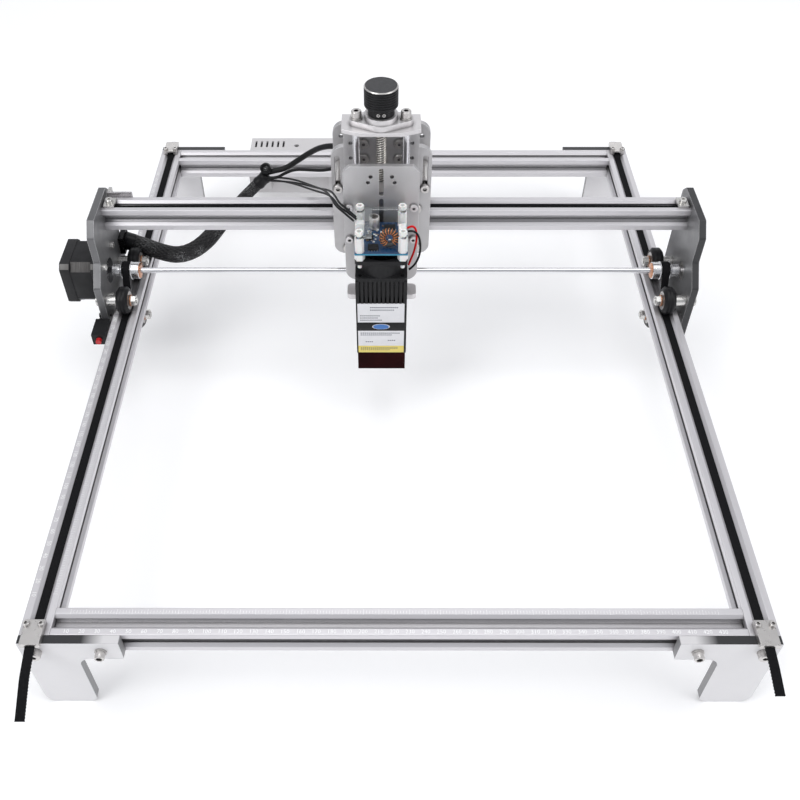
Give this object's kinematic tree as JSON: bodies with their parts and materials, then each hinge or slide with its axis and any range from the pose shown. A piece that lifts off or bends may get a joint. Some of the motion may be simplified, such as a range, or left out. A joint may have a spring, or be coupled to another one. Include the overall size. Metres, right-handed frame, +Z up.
{
  "type": "desktop laser cutter",
  "caption": "Open-frame desktop laser cutter: V-slot frame on plate feet, sliding gantry, belt-driven carriage and hand-set height axis with a fan-cooled laser head.",
  "frame": {"origin": "under the middle of the box round the whole machine but its cords, on the surface its feet stand on", "axes": "+X to the right along the beam, +Y to the back along the side rails, +Z up"},
  "size_m": [0.541, 0.6714, 0.2836],
  "materials": {
    "rail_aluminium": "satin silver anodised extrusion, white ruler marks",
    "foot_plate": "light grey plate with dark polished edges",
    "steel_fasteners": "bright machined steel",
    "bearing_steel": "cast and machined, satin",
    "belt_rubber": "matt black toothed rubber",
    "controller_shell": "pale grey powder coat",
    "circuit_board": "solder mask",
    "driver_board": "dark blue solder mask",
    "gantry_plate": "dark grey anodised, bright edges",
    "motor_black": "semi-matt black",
    "switch_black": "moulded",
    "button_red": "moulded",
    "chrome_rod": "polished",
    "pulley_aluminium": "turned",
    "carriage_aluminium": "fine blasted and anodised silver",
    "knob_black": "black anodised, ribbed, dark grey top",
    "laser_black": "black anodised fins with a plain label",
    "lens_glass": "clear lens in a dark barrel",
    "shield_red": "dark red tinted acrylic",
    "fan_black": "moulded",
    "nylon_white": "white nylon",
    "clear_acrylic": "clear acrylic",
    "cable_sleeve": "black braided sleeve",
    "wire_red": "insulated wire, one red and one black",
    "wheel_plastic": "black moulded tyre on steel bearings"
  },
  "bodies": {
    "frame": {"front_rail": "rail_aluminium", "rear_rail": "rail_aluminium", "left_rail": "rail_aluminium", "right_rail": "rail_aluminium", "foot_plates": "foot_plate", "frame_fasteners": "steel_fasteners", "y_belts": "belt_rubber", "controller_case": "controller_shell", "controller_lid": "controller_shell", "controller_board": "circuit_board"},
    "gantry": {"left_side_plate": "gantry_plate", "right_side_plate": "gantry_plate", "cross_beam": "rail_aluminium", "gantry_fittings": "steel_fasteners", "side_axles": "steel_fasteners", "y_motor": "motor_black", "y_belt_loops": "belt_rubber", "x_belt": "belt_rubber", "shaft_bearing": "bearing_steel", "limit_switch": "switch_black", "harness_sleeve": "cable_sleeve"},
    "end_switch_button": {"limit_switch_button": "button_red"},
    "y_drive": {"cross_shaft": "chrome_rod", "y_pulleys": "pulley_aluminium"},
    "x_carriage": {"carriage_front_plate": "carriage_aluminium", "carriage_rear_plate": "carriage_aluminium", "carriage_axles": "steel_fasteners", "carriage_fittings": "steel_fasteners", "x_switch": "switch_black", "x_motor": "motor_black", "x_belt_loop": "belt_rubber", "z_back_plate": "carriage_aluminium", "z_end_plates": "carriage_aluminium", "guide_rods": "chrome_rod", "flange_bearing": "bearing_steel", "carriage_leads": "cable_sleeve"},
    "x_drive": {"x_pulley": "pulley_aluminium"},
    "z_screw": {"lead_screw": "chrome_rod", "z_knob": "knob_black"},
    "z_slider": {"slider_plate": "carriage_aluminium", "slider_block": "carriage_aluminium", "laser_housing": "laser_black", "laser_lens": "lens_glass", "laser_shield": "shield_red", "fan_frame": "fan_black", "driver_board": "driver_board", "board_standoffs": "nylon_white", "board_cover": "clear_acrylic", "fan_wires": "wire_red"},
    "fan": {"fan_rotor": "fan_black"},
    "left_front_wheel": {"left_front_wheel": "wheel_plastic"},
    "left_rear_wheel": {"left_rear_wheel": "wheel_plastic"},
    "left_lower_wheel": {"left_lower_wheel": "wheel_plastic"},
    "right_front_wheel": {"right_front_wheel": "wheel_plastic"},
    "right_rear_wheel": {"right_rear_wheel": "wheel_plastic"},
    "right_lower_wheel": {"right_lower_wheel": "wheel_plastic"},
    "carriage_upper_left_wheel": {"carriage_upper_left_wheel": "wheel_plastic"},
    "carriage_upper_right_wheel": {"carriage_upper_right_wheel": "wheel_plastic"},
    "carriage_lower_left_wheel": {"carriage_lower_left_wheel": "wheel_plastic"},
    "carriage_lower_right_wheel": {"carriage_lower_right_wheel": "wheel_plastic"}
  },
  "joints": [
    {"name": "y_travel", "type": "slide", "parent": "frame", "child": "gantry", "axis": [0, 1, 0], "range_m": [-0.23, 0.155]},
    {"name": "x_travel", "type": "slide", "parent": "gantry", "child": "x_carriage", "axis": [1, 0, 0], "range_m": [-0.178, 0.202], "deforming": ["carriage_leads"]},
    {"name": "z_travel", "type": "slide", "parent": "x_carriage", "child": "z_slider", "axis": [0, 0, 1], "range_m": [-0.05, 0.025]},
    {"name": "z_screw_turn", "type": "hinge", "parent": "x_carriage", "child": "z_screw", "pos_m": [0.0015, 0.03867, 0.2], "axis": [0, 0, 1], "range_deg": [-2250, 1125]},
    {"name": "y_drive_turn", "type": "hinge", "parent": "gantry", "child": "y_drive", "pos_m": [0.0135, 0.05467, 0.101], "axis": [1, 0, 0], "continuous": true},
    {"name": "x_drive_turn", "type": "hinge", "parent": "x_carriage", "child": "x_drive", "pos_m": [0.0015, 0.07867, 0.18], "axis": [0, 1, 0], "continuous": true},
    {"name": "fan_turn", "type": "hinge", "parent": "z_slider", "child": "fan", "pos_m": [0.0015, -0.00833, 0.17], "axis": [0, 0, 1], "continuous": true},
    {"name": "end_switch_press", "type": "slide", "parent": "gantry", "child": "end_switch_button", "axis": [0, 1, 0], "range_m": [0, 0.0018], "stiffness_N_per_m": 300, "springref_m": -0.001},
    {"name": "left_front_wheel_turn", "type": "hinge", "parent": "gantry", "child": "left_front_wheel", "pos_m": [-0.2195, 0.02767, 0.09], "axis": [1, 0, 0], "continuous": true},
    {"name": "left_rear_wheel_turn", "type": "hinge", "parent": "gantry", "child": "left_rear_wheel", "pos_m": [-0.2195, 0.08167, 0.09], "axis": [1, 0, 0], "continuous": true},
    {"name": "left_lower_wheel_turn", "type": "hinge", "parent": "gantry", "child": "left_lower_wheel", "pos_m": [-0.2195, 0.05467, 0.05], "axis": [1, 0, 0], "continuous": true},
    {"name": "right_front_wheel_turn", "type": "hinge", "parent": "gantry", "child": "right_front_wheel", "pos_m": [0.2465, 0.02767, 0.09], "axis": [1, 0, 0], "continuous": true},
    {"name": "right_rear_wheel_turn", "type": "hinge", "parent": "gantry", "child": "right_rear_wheel", "pos_m": [0.2465, 0.08167, 0.09], "axis": [1, 0, 0], "continuous": true},
    {"name": "right_lower_wheel_turn", "type": "hinge", "parent": "gantry", "child": "right_lower_wheel", "pos_m": [0.2465, 0.05467, 0.05], "axis": [1, 0, 0], "continuous": true},
    {"name": "carriage_upper_left_wheel_turn", "type": "hinge", "parent": "x_carriage", "child": "carriage_upper_left_wheel", "pos_m": [-0.0265, 0.07867, 0.1635], "axis": [0, 1, 0], "continuous": true},
    {"name": "carriage_upper_right_wheel_turn", "type": "hinge", "parent": "x_carriage", "child": "carriage_upper_right_wheel", "pos_m": [0.0295, 0.07867, 0.1635], "axis": [0, 1, 0], "continuous": true},
    {"name": "carriage_lower_left_wheel_turn", "type": "hinge", "parent": "x_carriage", "child": "carriage_lower_left_wheel", "pos_m": [-0.0265, 0.07867, 0.1235], "axis": [0, 1, 0], "continuous": true},
    {"name": "carriage_lower_right_wheel_turn", "type": "hinge", "parent": "x_carriage", "child": "carriage_lower_right_wheel", "pos_m": [0.0295, 0.07867, 0.1235], "axis": [0, 1, 0], "continuous": true}
  ],
  "couplings": [
    {"joint": "z_screw_turn", "follows": "z_travel", "rad_per_m": 785.4},
    {"joint": "y_drive_turn", "follows": "y_travel", "rad_per_m": 157.08},
    {"joint": "x_drive_turn", "follows": "x_travel", "rad_per_m": -157.08},
    {"joint": "left_front_wheel_turn", "follows": "y_travel", "rad_per_m": -90.909},
    {"joint": "left_rear_wheel_turn", "follows": "y_travel", "rad_per_m": -90.909},
    {"joint": "left_lower_wheel_turn", "follows": "y_travel", "rad_per_m": 90.909},
    {"joint": "right_front_wheel_turn", "follows": "y_travel", "rad_per_m": -90.909},
    {"joint": "right_rear_wheel_turn", "follows": "y_travel", "rad_per_m": -90.909},
    {"joint": "right_lower_wheel_turn", "follows": "y_travel", "rad_per_m": 90.909},
    {"joint": "carriage_upper_left_wheel_turn", "follows": "x_travel", "rad_per_m": 90.909},
    {"joint": "carriage_upper_right_wheel_turn", "follows": "x_travel", "rad_per_m": 90.909},
    {"joint": "carriage_lower_left_wheel_turn", "follows": "x_travel", "rad_per_m": -90.909},
    {"joint": "carriage_lower_right_wheel_turn", "follows": "x_travel", "rad_per_m": -90.909}
  ]
}
